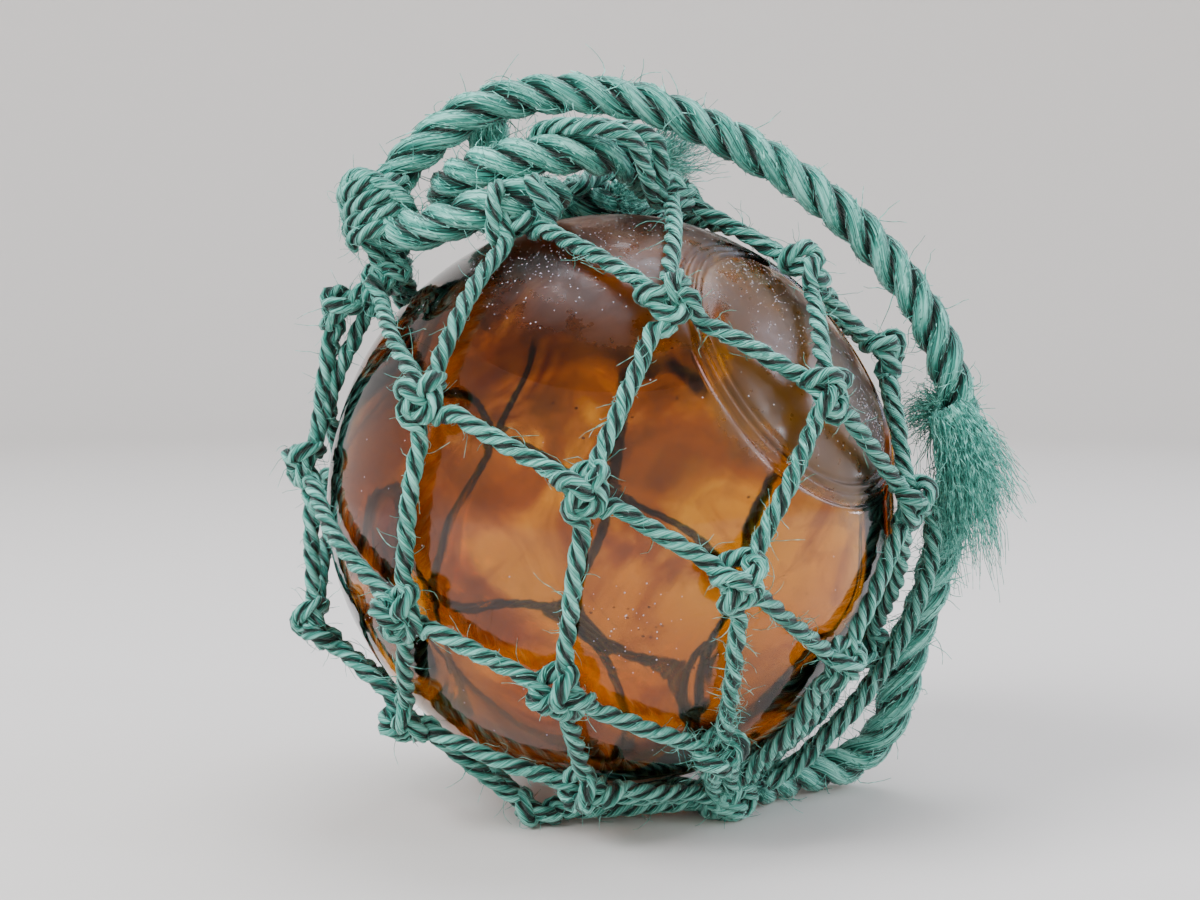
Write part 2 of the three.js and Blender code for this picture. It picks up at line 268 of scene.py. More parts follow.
def add_strand(bm, strand, kind):
    """A closed tube made of a flat sheet. Its seam faces the middle of the cord."""
    sides, steps = kind["sides"], len(strand["centres"])
    turn = np.linspace(-math.pi, math.pi, sides + 1)
    lobes = np.abs(np.cos(kind["yarns"] * (turn + strand["twist"][:, None]) / 2)) ** 0.8
    reach = strand["radii"][:, None] * (0.93 + 0.12 * lobes)
    places = strand["centres"][:, None] + reach[..., None] * (
        np.cos(turn)[None, :, None] * strand["outward"][:, None]
        + np.sin(turn)[None, :, None] * strand["across"][:, None])
    along = lengths_along(strand["centres"]) * MM
    before = len(bm.faces)
    sheet = bmesh.ops.create_grid(bm, x_segments=sides, y_segments=steps - 1, size=1)["verts"]
    for vert, place in zip(sheet, places.reshape(-1, 3)):
        vert.co = CENTRE + Vector(place) * MM
    # The UV map holds the share of the way round and the metres along.
    layer = bm.loops.layers.uv.verify()
    order = {vert: divmod(place, sides + 1) for place, vert in enumerate(sheet)}
    bm.faces.ensure_lookup_table()
    for face in bm.faces[before:]:
        for loop in face.loops:
            row, column = order[loop.vert]
            loop[layer].uv = (column / sides, along[row])
    starts = range(0, len(sheet), sides + 1)
    bmesh.ops.weld_verts(bm, targetmap={sheet[start + sides]: sheet[start] for start in starts})


def cord_mesh(name, cords, kind, material):
    """One piece of laid cords, each a list of strands."""
    bm = bmesh.new()
    for strands in cords:
        for strand in strands:
            add_strand(bm, strand, kind)
    rims = [edge for edge in bm.edges if edge.is_boundary]
    bmesh.ops.holes_fill(bm, edges=rims, sides=0)
    bmesh.ops.recalc_face_normals(bm, faces=bm.faces)
    return finished(bm, name, material)


def finished(bm, name, material):
    """The mesh object of a bmesh, in place, with its material."""
    mesh = bpy.data.meshes.new(name)
    bm.to_mesh(mesh)
    bm.free()
    mesh.shade_smooth()
    piece = bpy.data.objects.new(name, mesh)
    bpy.context.scene.collection.objects.link(piece)
    mesh.materials.append(material)
    return piece


def take_place(piece, slot, *nodes):
    """A piece rides on the part's one body and stands for CAD nodes."""
    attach(piece, "root")
    if nodes:
        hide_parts(*nodes)
    return piece


# ---------------------------------------------------------------------------------------------
# Loose fibres
# ---------------------------------------------------------------------------------------------

def hair_mesh(name, hairs, radius, material):
    """Fine tapered hairs as one mesh: each hair is a list of places in millimetres."""
    line = bpy.data.curves.new(name, "CURVE")
    line.dimensions = "3D"
    line.bevel_depth = radius * MM
    line.bevel_resolution = 0
    line.use_fill_caps = True
    for hair in hairs:
        spline = line.splines.new("POLY")
        spline.points.add(len(hair) - 1)
        for share, point, place in zip(np.linspace(1, 0.45, len(hair)), spline.points, hair):
            point.co = (*(CENTRE + Vector(place) * MM), 1)
            point.radius = share
    drawn = bpy.data.objects.new(name, line)
    bpy.context.scene.collection.objects.link(drawn)
    bpy.context.view_layer.update()
    depsgraph = bpy.context.evaluated_depsgraph_get()
    mesh = bpy.data.meshes.new_from_object(drawn.evaluated_get(depsgraph))
    bpy.data.objects.remove(drawn)
    bpy.data.curves.remove(line)
    mesh.name = name
    mesh.materials.clear()
    mesh.materials.append(material)
    mesh.shade_smooth()
    piece = bpy.data.objects.new(name, mesh)
    bpy.context.scene.collection.objects.link(piece)
    return piece


def stray_hairs(cords, size, count, longest, rng, near=None, steps=5):
    """Hairs that stick out of laid cords, all along them or only near a place."""
    routes = [np.mean([strand["centres"] for strand in strands], axis=0) for strands in cords]
    places = np.vstack(routes)
    tangents = np.vstack([directions(np.gradient(route, axis=0)) for route in routes])
    if near is not None:
        kept = np.linalg.norm(places - near[0], axis=1) < near[1]
        places, tangents = places[kept], tangents[kept]
    chosen = rng.integers(0, len(places), count)
    across = directions(np.cross(tangents[chosen], rng.normal(size=(count, 3))))
    leaning = rng.choice([-1, 1], count) * rng.uniform(0.3, 1.6, count)
    heading = directions(tangents[chosen] * leaning[:, None] + across)
    bend = rng.normal(size=(count, 3)) * 0.38
    step = (longest * rng.uniform(0.25, 1, count) ** 2 / steps)[:, None]
    hairs = [places[chosen] + across * size * 0.42]
    for _ in range(steps):
        heading = directions(heading + bend + rng.normal(size=(count, 3)) * 0.2)
        hairs.append(hairs[-1] + heading * step)
    return clear_of_glass(np.stack(hairs, axis=1))


def laid_hairs(cords, count, span, rng, steps=5):
    """Fibres that lie along the strands of laid cords, with ends that lift a little."""
    strands = [strand for strands in cords for strand in strands]
    lengths = np.array([len(strand["centres"]) for strand in strands], float)
    hairs = []
    for number in rng.choice(len(strands), size=count, p=lengths / lengths.sum()):
        strand = strands[number]
        centres = strand["centres"]
        spacing = np.linalg.norm(centres[1] - centres[0])
        run = max(steps, int(span * rng.uniform(0.5, 1.2) / spacing))
        first = rng.integers(0, max(1, len(centres) - run))
        rows = np.linspace(first, min(first + run, len(centres) - 1), steps + 1).astype(int)
        lean = rng.uniform(-1.3, 1.3)
        angle = lean + rng.normal() * 0.5 * np.linspace(-0.5, 0.5, steps + 1)
        lift = 1.0 + 0.3 * rng.uniform(0, 1) * np.linspace(-1, 1, steps + 1) ** 4
        reach = strand["radii"][rows] * lift
        hairs.append(centres[rows] + (np.cos(angle) * reach)[:, None] * strand["outward"][rows]
                     + (np.sin(angle) * reach)[:, None] * strand["across"][rows])
    return hairs


def clear_of_glass(hairs, gap=0.4):
    """Hairs with every place pushed out of the ball and up off the table."""
    clear = []
    for hair in hairs:
        reach = np.linalg.norm(hair, axis=1)
        hair = hair * (np.maximum(reach, 100 + gap) / reach)[:, None]
        hair[:, 2] = np.maximum(hair[:, 2], FLOOR + 0.2)
        clear.append(hair)
    return clear


def tuft_hairs(start, finish, root, mouth, count, rng, droop=0.0, crimp=0.5, steps=7):
    """A frayed end: crimped hairs from a disc round start that open towards finish."""
    start, finish = np.array(start, float), np.array(finish, float)
    length = np.linalg.norm(finish - start)
    axis = (finish - start) / length
    side = np.cross(axis, [0.2, 1, 0.3])
    side /= np.linalg.norm(side)
    other = np.cross(axis, side)
    share = np.linspace(0, 1, steps + 1)[:, None]
    locks = rng.normal(size=(max(5, count // 16), 3)) * crimp
    hairs = []
    for number in range(count):
        angle = rng.uniform(0, math.tau)
        reach = math.sqrt(rng.uniform(0, 1))
        ray = math.cos(angle) * side + math.sin(angle) * other
        grown = length * rng.uniform(0.45, 1.15)
        wide = root + (mouth - root) * share**0.8
        lock = locks[number % len(locks)]
        hair = start + axis * grown * share + ray * reach * wide + lock * share * 3.0
        for waves in (1.1, 2.7):
            phase = rng.uniform(0, math.tau)
            swing = rng.normal(size=3) * crimp / waves
            hair = hair + swing * np.sin(phase + math.tau * waves * share) * (0.3 + share)
        hair[:, 2] -= (droop * share**2 * grown * 0.5)[:, 0]
        hairs.append(hair)
    return clear_of_glass(hairs)


# ---------------------------------------------------------------------------------------------
# The net's routes
# ---------------------------------------------------------------------------------------------

# A sheet bend, in millimetres: across, up and out of the knot. The loop comes down from the two
# legs above, and the band comes up through it, round behind its neck and back under itself.
LOOP = [(-4.6, 3.2, -0.8), (-4.4, -1.2, 0.3), (-3.2, -5.2, 0.6), (0, -6.8, 0.6),
        (3.2, -5.2, 0.6), (4.4, -1.2, 0.3), (4.6, 3.2, -0.8)]
BAND = [(2.6, -8.2, -3.2), (1.2, -5.4, -3.8), (0.2, -2.6, -0.6), (-0.4, -0.4, 4.4),
        (-1.2, 2.6, 6.6), (-4.0, 4.8, 5.0), (-7.0, 5.4, 0.6), (-4.6, 5.8, -3.4), (0, 6.0, -4.2),
        (4.8, 5.4, -3.2), (7.4, 3.8, 0.8), (5.2, 1.8, 4.4), (1.4, 0.8, 2.8), (-2.2, -0.4, 2.8),
        (-5.4, -2.2, 4.0), (-7.2, -5.0, 0.8)]


class Knot:
    """A knot of the net: its place, its two ways across the glass and its turn of twine."""

    def __init__(self, place, rng):
        self.place = place
        self.out = place.normalized()
        self.size = rng.uniform(0.9, 1.04)
        self.mirrored = rng.random() < 0.4

    def face(self, above, below):
        """Turns the knot so that up lies between its upper legs and away from its lower ones."""
        up = sum(((Vector(p) - self.place).normalized() for p in above), Vector())
        up -= sum(((Vector(p) - self.place).normalized() for p in below), Vector())
        up -= self.out * up.dot(self.out)
        self.up = up.normalized()
        self.east = self.up.cross(self.out)

    def leave(self, toward):
        """Where a leg leaves the knot on its way to a place."""
        way = Vector(toward) - self.place
        way -= self.out * way.dot(self.out)
        return self.place + way.normalized() * 10.2 * self.size - self.out * 2.6

    def turn(self, points, flip):
        """Points of the knot's own turn, from left to right."""
        sign = -1 if flip else 1
        return [self.place + (self.east * x * sign + self.up * y + self.out * z) * self.size
                for x, y, z in points]

    def loop(self):
        """The turn that comes down from the upper legs."""
        return self.turn(LOOP, False)

    def band(self):
        """The turn that the lower legs make through the loop."""
        points = self.turn(BAND, self.mirrored)
        return points if self.mirrored else points[::-1]


def leg_between(start, end, first_place, last_place):
    """Places of a leg between two knots: it hugs the glass or stands off where they do."""
    places = []
    for share in (0.3, 0.5, 0.7):
        lift = ((first_place.length - KNOT_DISTANCE) * (1 - share)
                + (last_place.length - KNOT_DISTANCE) * share)
        middle = start.lerp(end, share)
        places.append(middle.normalized() * (LEG_DISTANCE + max(0, lift)))
    return places


def net_knots():
    """The net's five rows of eight knots."""
    rng = random.Random(SEED)
    rows = []
    for latitude, first, slips in ROWS:
        row = []
        for number in range(KNOTS):
            up, along, lifted = slips.get(number, (0, 0, 0))
            longitude = first + 360 / KNOTS * number + along
            row.append(Knot(around_ball(NET_AXES, latitude + up, longitude,
                                        KNOT_DISTANCE + lifted), rng))
        rows.append(row)
    return rows


def left_below(row, number):
    """Which knot of the next row hangs to the left under this one."""
    return number if row % 2 == 0 else (number - 1) % KNOTS


def right_below(row, number):
    """Which knot of the next row hangs to the right under this one."""
    return (number + 1) % KNOTS if row % 2 == 0 else number


# Where the top bights hook over the drawing rope: (angle, rise, inward) on its winding.
OVER_ROPE = 11.3
HOOKED = {
    0: [(-305, 3, -9), (-305, OVER_ROPE, 0), (-305, 2, 9)],
    1: [(-280, 3, -9), (-280, OVER_ROPE, 0), (-280, 2, 9)],
    2: [(-252, 3, -9), (-252, OVER_ROPE, 0), (-252, 2, 9)],
    6: [(-101, -4, -10), (-102, -9.5, -3)],
    7: [(-50, 8, -8), (-66, 10, -3), (-82, 7, 4), (-90, -1, 9)],
}
LASHED = (3, 4, 5)


def bight_sides(hooks, apart=6.5):
    """The two sides of a top bight over the drawing rope."""
    return [[on_winding(angle + offset, rise, inward) for angle, rise, inward in hooks]
            for offset in (-apart, apart)]


def net_routes(spacing):
    """Every run of twine in the net, smoothed: {piece: [route, ...]}."""
    rows = net_knots()
    last = len(rows) - 1
    for row, knots in enumerate(rows):
        for number, knot in enumerate(knots):
            if row < last:
                below = [rows[row + 1][left_below(row, number)].place,
                         rows[row + 1][right_below(row, number)].place]
            else:
                below = [BOTTOM_GATHER]
            if row > 0:
                above = [rows[row - 1][up].place for up in range(KNOTS)
                         if number in (left_below(row - 1, up), right_below(row - 1, up))]
            elif number in HOOKED:
                above = [bight_sides(HOOKED[number])[0][0]]
            else:
                above = [LASHING_KNOT]
            knot.face(above, below)
    lowest = FLOOR + 2.9
    routes = {}
    for row in range(last):
        points = []
        for number, knot in enumerate(rows[row]):
            left = rows[row + 1][left_below(row, number)]
            right = rows[row + 1][right_below(row, number)]
            following = rows[row][(number + 1) % KNOTS]
            start, end = knot.leave(right.place), right.leave(knot.place)
            points += [knot.leave(left.place), *knot.band(), start]
            points += [*leg_between(start, end, knot.place, right.place), end, *right.loop()]
            start, end = right.leave(following.place), following.leave(right.place)
            points += [start, *leg_between(start, end, right.place, following.place)]
        routes[f"net_meshes_{row + 1}"] = [smooth(points, spacing, True, lowest)]
    routes["net_bights"] = [smooth(*bight_points(rows[0][number], number, spacing), lowest)
                            for number in range(KNOTS)]
    gathered = []
    for knot in rows[last]:
        left, right = (strands_to(knot, BOTTOM_GATHER, side * 3.2, 7) for side in (-1, 1))
        points = [*left[::-1], *knot.band(), *right]
        gathered.append(smooth(points, spacing, False, lowest))
    gathered.append(smooth(ball_of_turns(BOTTOM_GATHER + Vector((0, 0, 1.5)), (9.5, 8.5, 6), 7, 2.2),
                           spacing, False, lowest))
    routes["net_gather"] = gathered
    return routes


def strands_to(knot, place, aside, reach):
    """Places of one of the two strands from a knot to a lump that they end inside."""
    ends = [end + knot.east * aside for end in (knot.place, Vector(place))]
    way = (ends[1] - ends[0]).normalized()
    start = knot.leave(place) + knot.east * aside
    end = ends[1] - way * reach
    distance = max(LEG_DISTANCE, (knot.place.length + end.length) / 2 - 3)
    if place is LASHING_KNOT:
        distance = 113
    middle = [start.lerp(end, share).normalized() * distance for share in (0.35, 0.65)]
    return [start, *middle, end]


def bight_points(knot, number, spacing):
    """The run of a top bight as smooth() takes it: points, spacing, closed."""
    if number in LASHED:
        left, right = (strands_to(knot, LASHING_KNOT, side * 3.1, 6) for side in (-1, 1))
        return [*left[::-1], *knot.loop(), *right], spacing, False
    sides = bight_sides(HOOKED[number])
    sides.sort(key=lambda places: (places[0] - knot.place).dot(knot.east))
    left, right = sides
    start, end = knot.leave(left[0]), knot.leave(right[0])
    return [start - knot.east * 1.5, *knot.loop(), end + knot.east * 1.5, *right,
            *left[::-1]], spacing, True


def ball_of_turns(centre, reach, turns, drift):
    """A lump of twine: turns round a place whose plane keeps tipping over."""
    points = []
    for step in range(turns * 10):
        angle = math.tau * step / 10
        tip = drift * angle / math.tau
        first = Vector((math.cos(tip), math.sin(tip), 0))
        second = Vector((-math.sin(tip) * 0.45, math.cos(tip) * 0.45, 0.9))
        place = first * math.cos(angle) + second * math.sin(angle)
        points.append(centre + Vector(size * part for size, part in zip(reach, place)))
    return points


# ---------------------------------------------------------------------------------------------
# Materials
# ---------------------------------------------------------------------------------------------

def add_node(tree, kind, inputs=(), stops=(), **settings):
    """A node with its settings and colour stops. An input is a plain value, a socket or a node."""
    node = tree.nodes.new(kind)
    for name, value in settings.items():
        setattr(node, name, value)
    for number, (place, colour) in enumerate(stops):
        elements = node.color_ramp.elements
        element = elements[number] if number < len(elements) else elements.new(place)
        element.position = place
        element.color = (*colour, 1)
    for name, value in dict(inputs).items():
        if isinstance(value, bpy.types.Node):
            value = value.outputs[0]
        if isinstance(value, bpy.types.NodeSocket):
            tree.links.new(value, node.inputs[name])
        else:
            node.inputs[name].default_value = value
    return node


def new_material(name, **plain):
    """A material with a bare Principled BSDF whose plain values are set on its own sockets."""
    material = bpy.data.materials.new(name)
    material.use_nodes = True
    shader = material.node_tree.nodes["Principled BSDF"]
    for socket, value in plain.items():
        shader.inputs[socket.replace("_", " ")].default_value = value
    return material, material.node_tree, shader


def shaded(colour, shade):
    """A linear colour made darker or lighter."""
    return [channel * shade for channel in colour]


def hemp(name, around_mm, yarn_twist_mm, shade=1.0):
    """Dyed hemp, hard laid and weathered: silky parallel fibres, with painted shade between the
    strands and a painted highlight on their crowns.
    """
    material, tree, shader = new_material(
        name, Roughness=0.5, Sheen_Weight=0.2, Sheen_Roughness=0.35, Specular_IOR_Level=0.45)
    coordinates = add_node(tree, "ShaderNodeTexCoord")
    split = add_node(tree, "ShaderNodeSeparateXYZ", {0: coordinates.outputs["UV"]})
    around, along = split.outputs["X"], split.outputs["Y"]
    # The fibres lean round their strand by one turn in each yarn_twist_mm.
    turned = add_node(tree, "ShaderNodeMath", {0: along, 1: 1000 / yarn_twist_mm, 2: around},
                      operation="MULTIPLY_ADD")
    # A hemp fibre is about 0.1 mm across: it is drawn 0.5 mm across and 16 mm long, to show.
    across = add_node(tree, "ShaderNodeMath", {0: turned, 1: around_mm / 0.5},
                      operation="MULTIPLY")
    length = add_node(tree, "ShaderNodeMath", {0: along, 1: 1000 / 16}, operation="MULTIPLY")
    strip = add_node(tree, "ShaderNodeCombineXYZ", {"X": across, "Y": length})
    fibre = add_node(tree, "ShaderNodeTexNoise",
                     {"Vector": strip, "Scale": 1.0, "Detail": 2.0, "Roughness": 0.6})
    # Bundles of fibres are about 1.5 mm across.
    wide = add_node(tree, "ShaderNodeVectorMath", {0: strip, 1: (0.33, 0.6, 1)},
                    operation="MULTIPLY")
    bundle = add_node(tree, "ShaderNodeTexNoise", {"Vector": wide, "Scale": 1.0, "Detail": 1.0})
    # Sun and rubbing have bleached it in patches of about 25 mm.
    patch = add_node(tree, "ShaderNodeTexNoise",
                     {"Vector": coordinates.outputs["Object"], "Scale": 40.0, "Detail": 2.0})
    # The seam of each strand faces the cord's own middle, so around is 0.5 on the outside.
    # Painted shade darkens each strand towards its seam, where the strands meet, and a painted
    # highlight lightens its outer crown.
    angle = add_node(tree, "ShaderNodeMath", {0: around, 1: math.tau}, operation="MULTIPLY")
    swing = add_node(tree, "ShaderNodeMath", {0: angle}, operation="COSINE")
    shade_and_tone = add_node(tree, "ShaderNodeMapRange",
                    {"Value": swing, "From Min": 0.35, "From Max": -1.0, "To Min": -0.2,
                     "To Max": 0.7})
    for more, share in ((fibre, 2.0), (bundle, 0.9), (patch, 0.55)):
        part = add_node(tree, "ShaderNodeMath", {0: more, 1: 0.5}, operation="SUBTRACT")
        shade_and_tone = add_node(tree, "ShaderNodeMath", {0: part, 1: share, 2: shade_and_tone},
                        operation="MULTIPLY_ADD")
    # The ramp's darkest stops carry the painted shade between the strands and its lightest the
    # painted highlight on the crowns, mixed with the fibres' own tone.
    light, mid, dark = (shaded(colour, shade) for colour in (
        colours().fibre_light, colours().fibre_mid, colours().fibre_dark))
    colour = add_node(tree, "ShaderNodeValToRGB", {"Fac": shade_and_tone},
                      [(0.05, shaded(dark, 0.3)), (0.26, dark), (0.5, mid), (0.95, light)])
    tree.links.new(colour.outputs["Color"], shader.inputs["Base Color"])
    height = add_node(tree, "ShaderNodeMath", {0: fibre, 1: 1.3, 2: bundle},
                      operation="MULTIPLY_ADD")
    bump = add_node(tree, "ShaderNodeBump", {"Height": height, "Strength": 1.0,
                                             "Distance": 0.0011})
    tree.links.new(bump.outputs[0], shader.inputs["Normal"])
    return material


def loose_fibre(name, shade=1.0):
    """Single hemp fibres: thin, dry and a little paler than the cord."""
    material, tree, shader = new_material(
        name, Roughness=0.55, Sheen_Weight=0.3, Specular_IOR_Level=0.4)
    coordinates = add_node(tree, "ShaderNodeTexCoord")
    spread = add_node(tree, "ShaderNodeTexNoise", {"Vector": coordinates.outputs["Object"],
                                                   "Scale": 420.0, "Detail": 1.0})
    mid = colours().fibre_mid
    colour = add_node(tree, "ShaderNodeValToRGB", {"Fac": spread},
                      [(0.3, shaded(mid, 0.5 * shade)), (0.48, shaded(mid, shade)),
                       (0.7, shaded(colours().fibre_light, shade))])
    tree.links.new(colour.outputs["Color"], shader.inputs["Base Color"])
    return material


def blown_glass():
    """Amber bottle glass, blown by hand: brown streaks that are partly a painted reflection of the
    net, painted shade low down, purple by the seal.
    """
    material, tree, shader = new_material(
        "Blown amber glass", IOR=1.5, Transmission_Weight=1.0, Specular_IOR_Level=0.45)
    place = add_node(tree, "ShaderNodeTexCoord").outputs["Object"]
    middle = add_node(tree, "ShaderNodeVectorMath", {0: place, 1: tuple(CENTRE)},
                      operation="SUBTRACT")
    # Streaks in the gather are drawn out to about 40 mm, and cloudy patches are about 30 mm. The
    # dark brown streaks are partly the glass's own and partly a painted reflection of the net's
    # knots.
    streak = add_node(tree, "ShaderNodeTexNoise",
                      {"Vector": middle, "Scale": 24.0, "Detail": 5.0, "Distortion": 1.8})
    cloud = add_node(tree, "ShaderNodeTexNoise",
                     {"Vector": middle, "Scale": 22.0, "Detail": 5.0, "Roughness": 0.65})
    # How far a place lies towards the seal, the smoky shoulder and the top, in metres.
    reaches = {}
    for name, axis in (("seal", SEAL_AXIS), ("smoke", SMOKE_AXIS), ("top", TOP_AXIS)):
        reach = add_node(tree, "ShaderNodeVectorMath", {0: middle, 1: tuple(axis)},
                         operation="DOT_PRODUCT").outputs["Value"]
        # Its edge is ragged by up to 20 mm.
        reaches[name] = add_node(tree, "ShaderNodeMath", {0: cloud, 1: 0.05, 2: reach},
                                 operation="MULTIPLY_ADD")
    smoky = add_node(tree, "ShaderNodeMapRange",
                     {"Value": reaches["smoke"], "From Min": 0.02, "From Max": 0.125,
                      "To Min": -0.08, "To Max": 0.26})
    brown = add_node(tree, "ShaderNodeMath", {0: streak, 1: smoky}, operation="ADD")
    clear = add_node(tree, "ShaderNodeValToRGB", {"Fac": brown},
                     [(0.46, colours().amber), (0.62, colours().brown),
                      (0.78, shaded(colours().brown, 0.45))])
    # Painted shade: the bottom is darker over its lowest 120 mm, where the table's shadow falls.
    height = add_node(tree, "ShaderNodeSeparateXYZ", {0: middle})
    table_shade = add_node(tree, "ShaderNodeMapRange",
                   {"Value": height.outputs["Z"], "From Min": 0.03, "From Max": -0.09})
    table_shaded = add_node(tree, "ShaderNodeMix",
                    {"Factor": table_shade, "A": clear.outputs["Color"], "B": (0.55, 0.4, 0.3, 1)},
                    data_type="RGBA", blend_type="MULTIPLY")
    hazed = add_node(tree, "ShaderNodeMapRange",
                     {"Value": reaches["seal"], "From Min": 0.108, "From Max": 0.116})
    colour = add_node(tree, "ShaderNodeMix",
                      {"Factor": hazed, "A": table_shaded.outputs["Result"], "B": (*colours().haze, 1)},
                      data_type="RGBA")
    tree.links.new(colour.outputs["Result"], shader.inputs["Base Color"])
    # Salt has etched the seal and the top: mottled frost in patches of about 8 mm.
    frost = add_node(tree, "ShaderNodeTexNoise",
                     {"Vector": middle, "Scale": 120.0, "Detail": 3.0, "Roughness": 0.6})
    topped = add_node(tree, "ShaderNodeMapRange",
                      {"Value": reaches["top"], "From Min": 0.1, "From Max": 0.12})
    worn = add_node(tree, "ShaderNodeMath", {0: hazed, 1: topped}, operation="MAXIMUM")
    etched = add_node(tree, "ShaderNodeMath", {0: worn, 1: frost}, operation="MULTIPLY")
    rough = add_node(tree, "ShaderNodeMapRange",
                     {"Value": etched, "From Min": 0.1, "From Max": 0.62, "To Min": 0.04,
                      "To Max": 0.5})
    tree.links.new(rough.outputs[0], shader.inputs["Roughness"])
    # Both walls, 9 mm of glass, pass 0.84 of the red, 0.56 of the green and 0.09 of the blue.
    absorb = add_node(tree, "ShaderNodeVolumeAbsorption",
                      {"Color": (*linear("#f7e322"), 1), "Density": 270.0})
    tree.links.new(absorb.outputs[0], tree.nodes["Material Output"].inputs["Volume"])
    return material


def dried_salt():
    """Specks of salt and lime dried on the glass."""
    material, tree, shader = new_material("Dried salt", Roughness=0.8)
    place = add_node(tree, "ShaderNodeTexCoord").outputs["Object"]
    mottle = add_node(tree, "ShaderNodeTexNoise", {"Vector": place, "Scale": 300.0})
    colour = add_node(tree, "ShaderNodeValToRGB", {"Fac": mottle},
                      [(0.3, linear("#8f8a98")), (0.7, linear("#dcdde4"))])
    tree.links.new(colour.outputs["Color"], shader.inputs["Base Color"])
    return material


# ---------------------------------------------------------------------------------------------
# The glass
# ---------------------------------------------------------------------------------------------

# The seal's profile on the outside: (angle from its middle, height on the ball in millimetres).
SEAL = [(0, -1.4), (4, -1.38), (8, -1.3), (12, -1.2), (16, -1.0), (20, -0.85), (23, -0.75),
        (25, -0.7), (25.8, -0.95), (26.2, -1.5), (26.5, -1.1), (26.8, -0.1), (27.1, 0.05),
        (27.5, -0.1), (27.8, -0.7), (28.1, -1.1), (28.4, -0.7), (28.6, 0), (29, 0.1), (29.4, 0),
        (29.8, -0.6), (30.2, -1.1), (30.6, -0.6), (31, 0), (32, 0.1)]


def spin_shell(bm, profile, steps):
    """Spins a profile of (angle from the seal, distance) about the seal's axis."""
    side = SEAL_AXIS.cross(Vector((0, 1, 0))).normalized()
    verts = []
    for angle, distance in profile:
        angle = math.radians(angle)
        place = SEAL_AXIS * math.cos(angle) + side * math.sin(angle)
        verts.append(bm.verts.new(place * distance * MM))
    edges = [bm.edges.new(pair) for pair in zip(verts, verts[1:])]
    bmesh.ops.spin(bm, geom=verts + edges, axis=SEAL_AXIS, cent=(0, 0, 0), steps=steps,
                   angle=math.tau, use_merge=True)
    bmesh.ops.remove_doubles(bm, verts=bm.verts, dist=1e-6)


def wavy(bm, size, scale, seed):
    """Hand-blown waviness: every vert moves in or out by smooth noise."""
    for vert in bm.verts:
        way = vert.co.normalized()
        vert.co += way * noise.noise(way * scale + Vector((seed, 0, 0))) * size


def ball_shell(radius, wall):
    """The hollow ball: its outside with the seal, and its inside turned to face the hollow."""
    outer_radius, inner_radius = radius / MM, (radius - wall) / MM
    outside = bmesh.new()
    rest = np.linspace(34, 180, 64)
    spin_shell(outside, [(angle, outer_radius + height) for angle, height in SEAL]
               + [(angle, outer_radius) for angle in rest], 144)
    bmesh.ops.recalc_face_normals(outside, faces=outside.faces)
    wavy(outside, 0.0007, 2.2, 3.0)
    inside = bmesh.new()
    spin_shell(inside, [(angle, inner_radius) for angle in np.linspace(0, 180, 60)], 120)
    bmesh.ops.recalc_face_normals(inside, faces=inside.faces)
    wavy(inside, 0.0035, 2.6, 9.0)
    bmesh.ops.reverse_faces(inside, faces=inside.faces)
    return outside, inside


def scatter(clusters, everywhere, rng):
    """Directions from the ball's middle: clusters of (axis, count, spread) and some all over."""
    places = [axis.normalized() + Vector(rng.gauss(0, spread) for _ in range(3))
              for axis, count, spread in clusters for _ in range(count)]
    places += [Vector(rng.gauss(0, 1) for _ in range(3)) for _ in range(everywhere)]
    return [place.normalized() for place in places]


def add_drop(bm, place, distance, size, flatness, subdivisions):
    """A small round drop on or in the glass: flat against it, or stretched along it."""
    stretch = Matrix.Diagonal((size, size * flatness, size, 1))
    turn = place.to_track_quat("Y" if flatness < 1 else "Z", "X").to_matrix().to_4x4()
    matrix = Matrix.Translation(place * distance) @ turn @ stretch
    made = bmesh.ops.create_icosphere(bm, subdivisions=subdivisions, radius=1, matrix=matrix)
    return made["verts"]


# Where seed bubbles crowd in the wall, and where salt has dried on it: (axis, count, spread).
SEED_CLUSTERS = [(Vector((0.28, -0.83, -0.42)), 16, 0.05), (Vector((0.05, -0.93, -0.3)), 14, 0.07),
                 (Vector((0.24, -0.86, 0.45)), 12, 0.07), (Vector((0.02, -0.99, 0.35)), 8, 0.12)]
SALT_CLUSTERS = [(SEAL_AXIS + Vector((0.2, 0.1, -0.24)), 420, 0.07), (SEAL_AXIS, 420, 0.19),
                 (SEAL_AXIS + Vector((-0.2, 0.1, 0.3)), 280, 0.09), (TOP_AXIS, 420, 0.16),
                 (Vector((-0.3, -0.5, 0.82)), 220, 0.13), (Vector((0.06, -0.95, -0.28)), 60, 0.09)]


